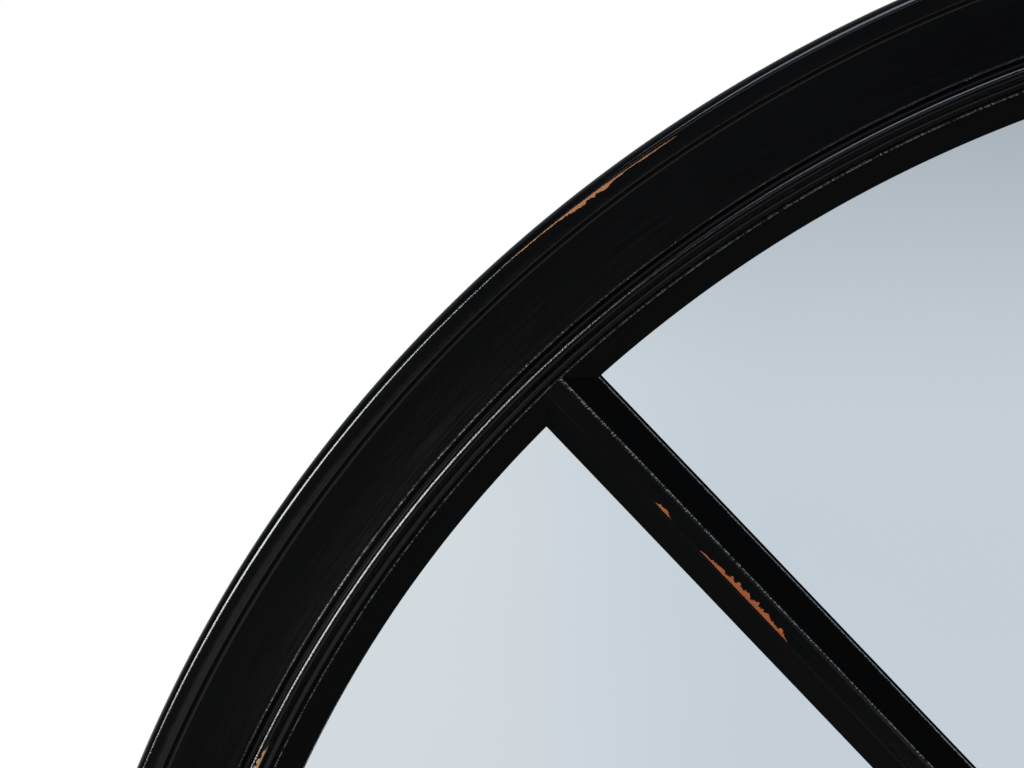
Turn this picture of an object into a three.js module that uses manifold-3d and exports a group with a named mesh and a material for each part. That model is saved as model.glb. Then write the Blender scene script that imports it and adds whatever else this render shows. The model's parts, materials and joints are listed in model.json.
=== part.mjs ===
// Arched window mirror: a round-headed wooden frame, black with rubbed edges, that hangs on a wall.
// Behind its moulding sits a sash of glazing bars and lining strips, then one plate of mirror glass and a
// backing board. Turn buttons hold the board in its rebate, and two D-ring hangers carry the weight.
// Millimetres, +Z up. The front faces -Y and the wall is the plane Y = 0. The origin lies on the wall,
// midway between the two points where the hanging rings sit on their hooks. The pieces are worked out
// from the underside of the bottom rail, and lowered to that origin as one group.
import * as THREE from "three";
import { mergeVertices } from "three/addons/utils/BufferGeometryUtils.js";
import Module from "manifold-3d";

// ---- Driving dimensions -------------------------------------------------------------------------
const width = 914; // across the stiles, which the half-round head continues
const height = 1372; // underside of the bottom rail to the crown
const gap = 0.3; // left between pieces that touch

// Moulding. Its members follow each other inwards from the outer edge, and rise above the rebate's floor.
const lipWidth = 8.2;
const lipRise = 7.6;
const lipShoulderWidth = 3; // the round on the lip's outer side
const lipShoulderHeight = 6.5;
const lipCrown = 0.4; // how far the middle of the lip stands above its inner edge
const quirkWidth = 1; // the narrow groove inside the lip
const quirkDepth = 2;
const filletWidth = 2.4; // the small round between groove and face
const faceWidth = 18; // the broad face, whose inner corner is worn
const faceRise = 5.8;
const faceDish = 0.3; // how far the face is hollowed
const grooveWidth = 1.7; // slopes down from the worn corner to the bead
const beadRadius = 1.7;
const beadRise = 5.8;
const bandWidth = 3.5; // from the bead to the wall that faces the mirror
const bandRise = 3.2;
const rebateLap = 10.2; // how far the moulding laps over sash, glass and board

// Sash, glass and board.
const barWidth = 22.6; // across the foot of a glazing bar
const barFlat = 6.6; // across its flat top
const barHeight = 7.4;
const barFoot = 1.2; // height of the upright edge at its foot
const linerShow = 1.4; // flat of the lining strip that shows inside the moulding
const glassThickness = 4;
const glassClearance = 1.5; // glass edge to rebate, at the sides and round the head
const boardThickness = 5;
const boardClearance = 1;

// Joinery: a loose tenon across each joint of the frame.
const tenonWidth = 16;
const tenonThickness = 5;
const tenonLength = 30;
const cornerTenonWidth = 10; // the mitred corners take a smaller one
const cornerTenonLength = 20;
const tenonDepth = 11; // back of the frame to the middle of the tenon

// Fasteners and fittings on the back.
const shankRadius = 1.75;
const screwLength = 12; // under the head
const screwPoint = 3;
const headRadius = 3.4;
const headHeight = 2;
const headEdge = 0.8; // height of the upright rim of the head
const recessLength = 3.6; // cross recess in the head
const recessWidth = 0.9;
const recessDepth = 1;
const pilotClearance = 1; // beyond the screw's point
const fittingInset = 15; // outer edge of the frame to the middle line of the hangers, pads and buttons

const padRadius = 7;
const padHeight = 6; // keeps the frame, and the rolled ends of the hanger straps, off the wall
const padRise = 42; // underside of the rail to the lower pads
const padAngle = 68; // upper pads, in degrees from level

const buttonThickness = 1.5;
const buttonHubRadius = 6;
const buttonTipRadius = 4.6;
const buttonLap = 7; // rebate wall to the middle of the tip's round, over the board
const buttonsPerSide = 2; // evenly along each stile and along the bottom rail
const buttonHeadAngle = 58; // in degrees from level

const strapWidth = 14;
const strapThickness = 1;
const strapScrewDrop = 9; // ring axis to the upper screw
const strapScrewSpacing = 18;
const knuckleWall = 0.9;
const wireRadius = 1.3;
const ringHalfWidth = 10.3; // to the middle of the wire
const ringRise = 7; // ring axis to the centre of the round end
const ringCorner = 2.6;
const hangerDrop = 70; // spring line down to the ring axis

// How finely round things are divided: sides are of a full circle, and steps of one round stretch.
const archSides = 96;
const fittingSides = 16;
const screwSides = 10;
const pilotSides = 8;
const wireSides = 8;
const wireSteps = 44; // along a ring's wire
const profileSteps = 4; // along each curve of the moulding's outline
const plateSteps = archSides / 2;
const fittingSteps = 12;
const tenonSteps = 6;
const headSteps = 4;

// ---- Worked out from them -----------------------------------------------------------------------
const radius = width / 2;
const spring = height - radius; // height of the spring line, where the head's centre lies
const back = -padHeight; // Y of the frame's back, as the wall is at zero
const faceInset = lipWidth + quirkWidth + filletWidth; // outer edge of the frame to the broad face
const ridgeInset = faceInset + faceWidth;
const beadInset = ridgeInset + grooveWidth + beadRadius; // to the middle of the bead
const noseInset = beadInset + beadRadius + bandWidth; // to the wall that faces the mirror
const rebateInset = noseInset - rebateLap;
const glassBack = boardThickness + gap;
const glassFront = glassBack + glassThickness;
const sashBack = glassFront + gap;
const sashFront = sashBack + barHeight;
const rebateDepth = sashFront + gap;
const barSlope = (barWidth - barFlat) / 2;
const sightInset = noseInset + linerShow + barSlope; // outer edge of the frame to the visible glass
const fittingRadius = radius - fittingInset;
const screwHole = shankRadius + gap; // radius of what a screw passes through or goes into
const farAway = 3 * height; // size of the blocks that cut

const degrees = THREE.MathUtils.degToRad;
const wasm = await Module();
wasm.setup();

// ---- Materials ----------------------------------------------------------------------------------
const finish = (color, roughness, metalness = 0) =>
  new THREE.MeshStandardMaterial({ color, roughness, metalness });
const blackPaint = finish(0x0c0c0d, 0.35);
const mirrorPlate = finish(0xc9d1d8, 0.03, 1);
const fibreboard = finish(0x8a6a4a, 0.85);
const beech = finish(0xc49a6c, 0.7);
const plated = finish(0xb9b8b2, 0.3, 1);
const rubber = finish(0x1b1b1b, 0.9);

// ---- Solids -------------------------------------------------------------------------------------
// A closed three.js geometry as a solid that can be joined and cut.
function solid(geometry) {
  const bare = geometry.clone();
  bare.deleteAttribute("normal");
  bare.deleteAttribute("uv");
  const merged = mergeVertices(bare, 1e-4);
  return new wasm.Manifold(
    new wasm.Mesh({
      numProp: 3,
      vertProperties: merged.attributes.position.array,
      triVerts: new Uint32Array(merged.index.array),
    }),
  );
}

// A solid as a three.js geometry again.
function geometryOf(made) {
  const mesh = made.getMesh();
  const geometry = new THREE.BufferGeometry()
    .setAttribute("position", new THREE.BufferAttribute(mesh.vertProperties, 3))
    .setIndex(new THREE.BufferAttribute(mesh.triVerts, 1))
    .toNonIndexed();
  geometry.computeVertexNormals();
  return geometry;
}

// A flat shape given a thickness along +Z, each of its round stretches divided into so many steps.
function extruded(shape, depth, steps = fittingSteps) {
  return new THREE.ExtrudeGeometry(shape, { depth, bevelEnabled: false, curveSegments: steps / 2 });
}

const united = (solids) => solids.reduce((all, next) => all.add(next));
const without = (made, cutters) => cutters.reduce((left, cutter) => left.subtract(cutter), made);

// The half of space behind an upright plane through (x, z) whose normal points along (nx, nz).
function behind(x, z, nx, nz) {
  const block = new THREE.BoxGeometry(farAway, farAway, farAway);
  block.translate(-farAway / 2, 0, 0);
  block.rotateY(Math.atan2(-nz, nx));
  block.translate(x, 0, z);
  return solid(block);
}

// What a piece loses at a joint of the head at this angle: everything before it, or everything past it.
function beforeAngle(angle) {
  const [c, s] = [Math.cos(degrees(angle)), Math.sin(degrees(angle))];
  return behind((-s * gap) / 2, spring + (c * gap) / 2, -s, c);
}
function pastAngle(angle) {
  const [c, s] = [Math.cos(degrees(angle)), Math.sin(degrees(angle))];
  return behind((s * gap) / 2, spring - (c * gap) / 2, s, -c);
}

// ---- Outlines, as [inset from the outer edge, distance in front of the back] ---------------------
function counterClockwise(points) {
  return THREE.ShapeUtils.isClockWise(points) ? points.reverse() : points;
}

// Front of the moulding from its outer edge inwards, then down the nose and round the rebate.
function mouldingOutline() {
  const lipFront = rebateDepth + lipRise;
  const lipEdge = lipFront - lipCrown;
  const quirkFloor = lipEdge - quirkDepth;
  const shoulder = lipFront - lipShoulderHeight;
  const filletInset = lipWidth + quirkWidth;
  const face = rebateDepth + faceRise;
  const beadStart = beadInset - beadRadius;
  const beadFloor = rebateDepth + beadRise - beadRadius;
  const beadEnd = beadInset + beadRadius;
  const band = rebateDepth + bandRise;
  const outline = new THREE.Shape();
  outline.moveTo(0, 0);
  outline.lineTo(0, shoulder);
  const [across, up] = [lipShoulderWidth, lipShoulderHeight];
  outline.absellipse(across, shoulder, across, up, Math.PI, Math.PI / 2, true);
  outline.quadraticCurveTo((across + lipWidth) / 2, lipFront, lipWidth, lipEdge);
  outline.lineTo(lipWidth, quirkFloor);
  outline.lineTo(filletInset, quirkFloor);
  outline.quadraticCurveTo(filletInset, face, faceInset, face);
  outline.quadraticCurveTo(faceInset + faceWidth / 2, face - 2 * faceDish, ridgeInset, face);
  outline.lineTo(beadStart, beadFloor);
  outline.absarc(beadInset, beadFloor, beadRadius, Math.PI, 0, true);
  outline.quadraticCurveTo(beadEnd, band, noseInset, band);
  outline.lineTo(noseInset, rebateDepth);
  outline.lineTo(rebateInset, rebateDepth);
  outline.lineTo(rebateInset, 0);
  return counterClockwise(outline.extractPoints(profileSteps).shape);
}

// Lining strip. As a cutter it is grown by the gap all round.
function linerOutline(grow = 0) {
  const flatEnd = noseInset + linerShow;
  return counterClockwise([
    new THREE.Vector2(rebateInset + gap - grow, sashBack - grow),
    new THREE.Vector2(rebateInset + gap - grow, sashFront + grow),
    new THREE.Vector2(flatEnd + grow, sashFront + grow),
    new THREE.Vector2(sightInset + grow, sashBack + barFoot + grow),
    new THREE.Vector2(sightInset + grow, sashBack - grow),
  ]);
}

// Glazing bar, across its width and forwards.
function barOutline(grow = 0) {
  const [foot, flat] = [barWidth / 2 + grow, barFlat / 2 + grow];
  return [
    new THREE.Vector2(-foot, sashBack - grow),
    new THREE.Vector2(foot, sashBack - grow),
    new THREE.Vector2(foot, sashBack + barFoot + grow),
    new THREE.Vector2(flat, sashFront + grow),
    new THREE.Vector2(-flat, sashFront + grow),
    new THREE.Vector2(-foot, sashBack + barFoot + grow),
  ];
}

// ---- Runs of moulding, strip and bar -------------------------------------------------------------
// The half ring that an outline makes round the head, above the spring line.
function headOf(outline) {
  const profile = outline.map((p) => new THREE.Vector2(radius - p.x, back - p.y));
  profile.push(profile[0].clone());
  const ring = new THREE.LatheGeometry(profile, archSides);
  ring.translate(0, 0, spring);
  return solid(ring).subtract(behind(0, spring, 0, 1));
}

// A straight run of an outline that starts at (x, z), where turn 0 runs up and 90 runs towards +X.
// The outline's inset lies to the right of that way.
function runOf(outline, x, z, turn, length) {
  const shape = new THREE.Shape(outline.map((p) => new THREE.Vector2(p.x, back - p.y)));
  const run = extruded(shape, length);
  run.rotateY(degrees(turn));
  run.translate(x, 0, z);
  return solid(run);
}

const leftRun = (outline) => runOf(outline, -radius, 0, 0, spring - gap / 2);
const rightRun = (outline) => runOf(outline, radius, spring - gap / 2, 180, spring - gap / 2);
const lowerRun = (outline) => runOf(outline, radius, 0, -90, width);

// The bottom corners are mitred: each run loses what lies beyond its corner's diagonal.
const half = (gap / 2) * Math.SQRT1_2;
const belowLeftMitre = behind(-radius - half, half, -1, 1);
const aboveLeftMitre = behind(-radius + half, -half, 1, -1);
const belowRightMitre = behind(radius + half, half, 1, 1);
const aboveRightMitre = behind(radius - half, -half, -1, -1);

// The seven runs of an outline all round the frame, by name.
function surround(outline, cutters = []) {
  const head = without(headOf(outline), cutters);
  const segment = (from, to) => without(head, [beforeAngle(from), pastAngle(to)]);
  return {
    lower_right: segment(0, 45),
    upper_right: segment(45, 90),
    upper_left: segment(90, 135),
    lower_left: segment(135, 180),
    left: without(leftRun(outline), [belowLeftMitre, ...cutters]),
    right: without(rightRun(outline), [belowRightMitre, ...cutters]),
    bottom: without(lowerRun(outline), [aboveLeftMitre, aboveRightMitre, ...cutters]),
  };
}

// ---- Places --------------------------------------------------------------------------------------
// A point of the head at this angle, and the angle about Y that turns local X to point inwards there.
function headPlace(angle, r = fittingRadius) {
  const a = degrees(angle);
  return { x: r * Math.cos(a), z: spring + r * Math.sin(a), turn: 180 - angle };
}

const tenonRadius = radius - rebateInset / 2;
const tenons = {
  tenon_spring_right: headPlace(0, tenonRadius),
  tenon_shoulder_right: headPlace(45, tenonRadius),
  tenon_crown: headPlace(90, tenonRadius),
  tenon_shoulder_left: headPlace(135, tenonRadius),
  tenon_spring_left: headPlace(180, tenonRadius),
  tenon_corner_left: { x: -tenonRadius, z: rebateInset / 2, turn: -45, corner: true },
  tenon_corner_right: { x: tenonRadius, z: rebateInset / 2, turn: 225, corner: true },
};

// Buttons, with the angle about Y that points each of them inwards.
const evenly = Array.from({ length: buttonsPerSide }, (_, i) => (i + 0.5) / buttonsPerSide);
const buttons = [
  ...evenly.map((share) => ({ x: width * share - radius, z: fittingInset, turn: -90 })),
  ...evenly.map((share) => ({ x: -fittingRadius, z: spring * share, turn: 0 })),
  ...evenly.map((share) => ({ x: fittingRadius, z: spring * share, turn: 180 })),
  headPlace(180 - buttonHeadAngle),
  headPlace(buttonHeadAngle),
];

const pads = {
  wall_pad_lower_left: { x: -fittingRadius, z: padRise },
  wall_pad_lower_right: { x: fittingRadius, z: padRise },
  wall_pad_upper_left: headPlace(180 - padAngle),
  wall_pad_upper_right: headPlace(padAngle),
};

const hangerZ = spring - hangerDrop;
const hookHeight = hangerZ + ringRise + ringHalfWidth - wireRadius; // inside top of the rings
const hangers = { left: -fittingRadius, right: fittingRadius };
const strapScrews = {
  upper: hangerZ - strapScrewDrop,
  lower: hangerZ - strapScrewDrop - strapScrewSpacing,
};

// ---- Frame ---------------------------------------------------------------------------------------
// A loose tenon lies across its joint. As a mortise it is grown by the gap.
function tenonAt(place, grow = 0) {
  const across = place.corner ? cornerTenonWidth : tenonWidth;
  const [w, t] = [across / 2 + grow, tenonThickness / 2 + grow];
  const shape = new THREE.Shape();
  shape.absarc(t - w, 0, t, Math.PI / 2, (3 * Math.PI) / 2, false);
  shape.absarc(w - t, 0, t, -Math.PI / 2, Math.PI / 2, false);
  const length = (place.corner ? cornerTenonLength : tenonLength) + 2 * grow;
  const tenon = extruded(shape, length, tenonSteps);
  tenon.translate(0, back - tenonDepth, -length / 2);
  tenon.rotateY(degrees(place.turn));
  tenon.translate(place.x, 0, place.z);
  return tenon;
}

function pilotAt(x, z) {
  const depth = screwLength + pilotClearance;
  const hole = new THREE.CylinderGeometry(screwHole, screwHole, 2 * depth, pilotSides);
  hole.translate(x, back, z);
  return solid(hole);
}

const mortises = Object.values(tenons).map((place) => solid(tenonAt(place, gap)));
const screwPlaces = [
  ...buttons,
  ...Object.values(hangers).flatMap((x) => Object.values(strapScrews).map((z) => ({ x, z }))),
];
const pilots = screwPlaces.map(({ x, z }) => pilotAt(x, z));
const frameRuns = surround(mouldingOutline(), [...mortises, ...pilots]);

// ---- Sash ----------------------------------------------------------------------------------------
const linerRuns = surround(linerOutline());

// A bar that starts at (x, z) and runs towards turn, as a run does.
const barFrom = (x, z, turn, length, grow) => runOf(barOutline(grow), x, z, turn, length);
const barReach = (noseInset + rebateInset) / 2; // bars start under the moulding and are scribed to the strips
const barSpan = radius - barReach;
const midBarZ = (sightInset + spring - barWidth / 2) / 2; // halves the openings under the spring line

const strips = [
  headOf(linerOutline(gap)),
  leftRun(linerOutline(gap)),
  rightRun(linerOutline(gap)),
  lowerRun(linerOutline(gap)),
];
const uprightLength = height - 2 * barReach;
const uprightCutter = barFrom(0, barReach, 0, uprightLength, gap);
const springCutter = barFrom(-barSpan, spring, 90, 2 * barSpan, gap);

const bars = {
  upright_bar: without(barFrom(0, barReach, 0, uprightLength), strips),
  spring_bar_left: without(barFrom(-barSpan, spring, 90, barSpan), [...strips, uprightCutter]),
  spring_bar_right: without(barFrom(0, spring, 90, barSpan), [...strips, uprightCutter]),
  mid_bar_left: without(barFrom(-barSpan, midBarZ, 90, barSpan), [...strips, uprightCutter]),
  mid_bar_right: without(barFrom(0, midBarZ, 90, barSpan), [...strips, uprightCutter]),
  radial_bar_left: without(barFrom(0, spring, -45, barSpan), [...strips, uprightCutter, springCutter]),
  radial_bar_right: without(barFrom(0, spring, 45, barSpan), [...strips, uprightCutter, springCutter]),
};

// ---- Glass and board -----------------------------------------------------------------------------
// A round-headed plate that stands on the floor of the rebate.
function plate(clearance, thickness, from) {
  const r = radius - rebateInset - clearance;
  const foot = rebateInset + gap;
  const shape = new THREE.Shape();
  shape.moveTo(-r, foot);
  shape.lineTo(r, foot);
  shape.absarc(0, spring, r, 0, Math.PI, false);
  const made = extruded(shape, thickness, plateSteps);
  made.rotateX(Math.PI / 2);
  made.translate(0, back - from, 0);
  return made;
}

// ---- Fittings ------------------------------------------------------------------------------------
// A cross-headed screw whose head sits lift behind the frame's back.
function screwAt(x, z, lift) {
  const profile = new THREE.Path();
  profile.moveTo(0, -screwLength);
  profile.lineTo(shankRadius, screwPoint - screwLength);
  profile.lineTo(shankRadius, 0);
  profile.lineTo(headRadius, 0);
  profile.lineTo(headRadius, headEdge);
  profile.absellipse(0, headEdge, headRadius, headHeight - headEdge, 0, Math.PI / 2, false);
  const arm = (w, l) => {
    const box = new THREE.BoxGeometry(w, 2 * recessDepth, l);
    box.translate(0, headHeight, 0);
    return solid(box);
  };
  const recess = united([arm(recessWidth, recessLength), arm(recessLength, recessWidth)]);
  const body = solid(new THREE.LatheGeometry(profile.getPoints(headSteps / 2), screwSides));
  const screw = geometryOf(body.subtract(recess));
  screw.translate(x, back + lift, z);
  return screw;
}

// A turn button about its pivot: a round hub that tapers to a smaller round tip along +X.
const buttonReach = rebateInset + buttonLap - fittingInset;
function turnButton() {
  const lean = Math.asin((buttonHubRadius - buttonTipRadius) / buttonReach);
  const side = Math.PI / 2 - lean;
  const shape = new THREE.Shape();
  shape.absarc(0, 0, buttonHubRadius, side, 2 * Math.PI - side, false);
  shape.absarc(buttonReach, 0, buttonTipRadius, -side, side, false);
  shape.holes.push(new THREE.Path().absarc(0, 0, screwHole, 0, 2 * Math.PI, false));
  const button = extruded(shape, buttonThickness);
  button.rotateX(Math.PI / 2);
  button.translate(0, buttonThickness, 0);
  return button;
}

// Strap of a hanger: a plate with two screw holes whose upper end is rolled round the ring's bar.
const knuckleBore = wireRadius + gap;
const knuckleRadius = knuckleBore + knuckleWall;
const ringAxis = gap + knuckleRadius; // behind the frame's back
function strap() {
  const [w, foot] = [strapWidth / 2, -strapScrewDrop - strapScrewSpacing];
  const shape = new THREE.Shape();
  shape.moveTo(w, 0);
  shape.lineTo(-w, 0);
  shape.lineTo(-w, foot);
  shape.absarc(0, foot, w, Math.PI, 2 * Math.PI, false);
  for (const z of [-strapScrewDrop, foot])
    shape.holes.push(new THREE.Path().absarc(0, z, screwHole, 0, 2 * Math.PI, false));
  const sheet = extruded(shape, strapThickness);
  sheet.rotateX(Math.PI / 2);
  sheet.translate(0, gap + strapThickness, 0);
  const roll = (r, length) => {
    const tube = new THREE.CylinderGeometry(r, r, length, fittingSides);
    tube.rotateZ(Math.PI / 2);
    tube.translate(0, ringAxis, 0);
    return solid(tube);
  };
  const knuckle = roll(knuckleRadius, strapWidth);
  return geometryOf(solid(sheet).add(knuckle).subtract(roll(knuckleBore, 2 * strapWidth)));
}

// A flat path laid in the upright XZ plane.
class UprightCurve extends THREE.Curve {
  constructor(path) {
    super();
    this.path = path;
  }
  getPoint(t) {
    const p = this.path.getPoint(t);
    return new THREE.Vector3(p.x, 0, p.y);
  }
}

// D-shaped ring of bent wire. It stands up from its bar on the X axis, where the wire's two ends meet.
function wireRing() {
  const corner = ringHalfWidth - ringCorner;
  const path = new THREE.Path();
  path.moveTo(gap / 2, 0);
  path.lineTo(corner, 0);
  path.absarc(corner, ringCorner, ringCorner, -Math.PI / 2, 0, false);
  path.absarc(0, ringRise, ringHalfWidth, 0, Math.PI, false);
  path.absarc(-corner, ringCorner, ringCorner, Math.PI, (3 * Math.PI) / 2, false);
  path.lineTo(-gap / 2, 0);
  return new THREE.ExtrudeGeometry(new THREE.Shape().absarc(0, 0, wireRadius, 0, 2 * Math.PI, false), {
    extrudePath: new UprightCurve(path),
    steps: wireSteps,
    curveSegments: wireSides / 2,
  });
}

// ---- Assembly ------------------------------------------------------------------------------------
const mirror = new THREE.Group();
const pieces = new THREE.Group();
pieces.position.z = -hookHeight;
mirror.add(pieces);

function piece(name, geometry, material, place = {}) {
  const mesh = new THREE.Mesh(geometry, material);
  mesh.name = name;
  mesh.position.set(place.x ?? 0, place.y ?? 0, place.z ?? 0);
  mesh.rotation.y = degrees(place.turn ?? 0);
  pieces.add(mesh);
}

const runName = { left: "stile_left", right: "stile_right", bottom: "bottom_rail" };
for (const [where, made] of Object.entries(frameRuns))
  piece(runName[where] ?? `arch_segment_${where}`, geometryOf(made), blackPaint);
for (const [where, made] of Object.entries(linerRuns))
  piece(`lining_strip_${where}`, geometryOf(made), blackPaint);
for (const [name, made] of Object.entries(bars)) piece(name, geometryOf(made), blackPaint);
for (const [name, place] of Object.entries(tenons)) piece(name, tenonAt(place), beech);

piece("mirror_glass", plate(glassClearance, glassThickness, glassBack), mirrorPlate);
piece("backing_board", plate(boardClearance, boardThickness, 0), fibreboard);

buttons.forEach((place, i) => {
  piece(`turn_button_${i + 1}`, turnButton(), plated, { ...place, y: back + gap });
  const lift = 2 * gap + buttonThickness;
  piece(`turn_button_screw_${i + 1}`, screwAt(place.x, place.z, lift), plated);
});

for (const [side, x] of Object.entries(hangers)) {
  piece(`hanger_strap_${side}`, strap(), plated, { x, y: back, z: hangerZ });
  piece(`hanger_ring_${side}`, wireRing(), plated, { x, y: back + ringAxis, z: hangerZ });
  for (const [level, z] of Object.entries(strapScrews))
    piece(`hanger_screw_${side}_${level}`, screwAt(x, z, 2 * gap + strapThickness), plated);
}

for (const [name, { x, z }] of Object.entries(pads)) {
  const pad = new THREE.CylinderGeometry(padRadius, padRadius, padHeight - gap, fittingSides);
  pad.translate(0, (padHeight + gap) / 2, 0);
  piece(name, pad, rubber, { x, y: back, z });
}

export default mirror;
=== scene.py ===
"""Arched window mirror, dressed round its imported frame.

The moulding, lining strips and glazing bars are swept again with fine sections, and get black paint that is
rubbed through to the wood in places. The plate, the board and the fittings on the back are made again with
eased edges. Everything is in metres: the front faces -Y, and the wall is the plane Y = 0.
"""
import json
import math
import random
from collections import namedtuple

import bmesh
import bpy
from bpy.props import FloatProperty, FloatVectorProperty, IntProperty, PointerProperty
from mathutils import Matrix, Vector, noise

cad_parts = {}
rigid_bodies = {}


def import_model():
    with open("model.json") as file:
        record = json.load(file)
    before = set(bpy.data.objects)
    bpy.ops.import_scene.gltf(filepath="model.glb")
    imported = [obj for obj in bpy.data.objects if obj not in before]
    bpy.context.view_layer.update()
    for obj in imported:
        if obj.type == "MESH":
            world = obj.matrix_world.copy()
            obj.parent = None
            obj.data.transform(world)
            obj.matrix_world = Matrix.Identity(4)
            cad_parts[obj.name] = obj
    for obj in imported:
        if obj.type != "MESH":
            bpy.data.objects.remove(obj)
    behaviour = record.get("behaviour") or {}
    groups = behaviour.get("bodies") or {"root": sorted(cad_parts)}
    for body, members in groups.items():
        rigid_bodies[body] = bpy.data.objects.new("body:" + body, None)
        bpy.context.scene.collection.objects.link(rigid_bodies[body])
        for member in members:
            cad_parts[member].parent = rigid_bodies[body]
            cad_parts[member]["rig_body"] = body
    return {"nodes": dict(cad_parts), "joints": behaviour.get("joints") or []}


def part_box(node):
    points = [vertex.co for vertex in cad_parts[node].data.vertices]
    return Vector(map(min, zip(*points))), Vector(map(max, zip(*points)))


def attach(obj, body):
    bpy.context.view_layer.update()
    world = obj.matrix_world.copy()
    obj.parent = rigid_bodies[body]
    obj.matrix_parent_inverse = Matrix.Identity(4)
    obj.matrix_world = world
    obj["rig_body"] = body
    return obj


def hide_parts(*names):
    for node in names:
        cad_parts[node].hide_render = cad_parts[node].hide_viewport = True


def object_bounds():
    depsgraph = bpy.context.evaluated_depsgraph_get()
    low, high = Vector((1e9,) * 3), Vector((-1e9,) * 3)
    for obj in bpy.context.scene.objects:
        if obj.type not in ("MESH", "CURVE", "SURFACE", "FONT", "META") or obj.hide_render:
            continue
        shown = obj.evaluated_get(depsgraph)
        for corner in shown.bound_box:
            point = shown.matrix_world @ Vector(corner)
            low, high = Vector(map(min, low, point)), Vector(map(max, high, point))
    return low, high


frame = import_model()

bl_info = {
    "name": "Arched window mirror",
    "version": (1, 0, 0),
    "blender": (4, 5, 0),
    "location": "View3D > Sidebar > Window mirror",
    "description": "Dresses the packed frame of an arched window mirror with its finished pieces",
    "category": "Object",
}

# ---- Places, read from the frame
MM = 0.001
cad_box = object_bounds()
LOW, HIGH = cad_box
RADIUS = (HIGH.x - LOW.x) / 2
HEAD_Z = HIGH.z - RADIUS  # centre of the round head, on the spring line
BACK_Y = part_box("backing_board")[1].y  # back of the frame
GLASS_LOW, GLASS_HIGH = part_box("mirror_glass")
BOARD_LOW, BOARD_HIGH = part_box("backing_board")
BAR_LOW, BAR_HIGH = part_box("upright_bar")
MID_BAR_Z = sum(corner.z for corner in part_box("mid_bar_left")) / 2
SASH_BACK = BACK_Y - BAR_HIGH.y  # in front of the frame's back, as every depth here
SASH_FRONT = BACK_Y - BAR_LOW.y
STRIP_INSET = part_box("lining_strip_left")[0].x - LOW.x  # outer edge of the frame to the strip's outer edge
SIGHT_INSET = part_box("lining_strip_left")[1].x - LOW.x  # outer edge of the frame to the visible mirror
GAP = 0.3 * MM  # between the frame's own pieces
REBATE_INSET = STRIP_INSET - GAP
REBATE_DEPTH = SASH_FRONT + GAP
BAR_HALF = BAR_HIGH.x
RING_AXES = {
    joint["child"]: Vector(joint["pos_m"]) for joint in frame["joints"] if joint["child"].startswith("ring")
}


def length(name, default, description):
    """A size in millimetres as a length property."""
    return FloatProperty(name=name, description=description, default=default * MM, unit="LENGTH", precision=5)


def colour(name, default, description):
    return FloatVectorProperty(
        name=name, description=description, default=default, subtype="COLOR", size=3, min=0, max=1
    )


def number(name, default, description):
    return FloatProperty(name=name, description=description, default=default)


class MirrorMoulding(bpy.types.PropertyGroup):
    """Section of the moulding, inwards from its outer edge."""

    lip_width: length("Lip width", 8.2, "Outer edge to the inner side of the lip")
    lip_rise: length("Lip rise", 7.6, "Top of the lip above the rebate's floor")
    lip_shoulder: length("Lip shoulder", 3, "Width of the round on the lip's outer side")
    lip_shoulder_height: length("Lip shoulder height", 6.5, "Height of that round")
    lip_crown: length("Lip crown", 0.6, "How far the lip falls towards its inner side")
    quirk_width: length("Quirk width", 2.8, "Dark cove inside the lip")
    face_width: length("Face width", 19.1, "Broad face of the moulding")
    face_rise: length("Face rise", 5.8, "Face above the rebate's floor")
    face_dish: length("Face dish", 0.3, "How far the face is hollowed")
    ridge_width: length("Ridge width", 1.5, "Upturned inner side of the face")
    ridge_rise: length("Ridge rise", -0.045, "How far that side turns up from the face's start")
    groove_width: length("Groove width", 2.2, "Cove from the worn ridge down to the bead")
    bead_radius: length("Bead radius", 1.8, "Half the width of the bead")
    bead_height: length("Bead height", 1.3, "Height of the bead's round")
    bead_rise: length("Bead rise", 5.8, "Top of the bead above the rebate's floor")
    band_width: length("Band width", 2.3, "Bead to the nose of the moulding")
    band_rise: length("Band rise", 3.2, "Band above the rebate's floor")
    easing: length("Easing", 0.35, "Radius of the rubbed corners")
    step: length("Step", 2, "Length of one facet along a run")


class MirrorSash(bpy.types.PropertyGroup):
    """Section of the glazing bars and lining strips."""

    bar_flat: length("Bar flat", 6.6, "Flat top of a glazing bar")
    bar_foot: length("Bar foot", 1.2, "Height of the upright edge at a bar's foot")
    easing: length("Easing", 0.4, "Radius of the rubbed corners")
    fit: length("Fit", 0.06, "Left where a bar is scribed over its neighbour")
    optical_depth: length("Optical depth", 2.6, "Glass front to the silvering, as it looks through the glass")
    plate_edge: length("Plate edge", 0.3, "Ground edge of the plate")
    board_edge: length("Board edge", 0.5, "Eased edge of the backing board")


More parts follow.
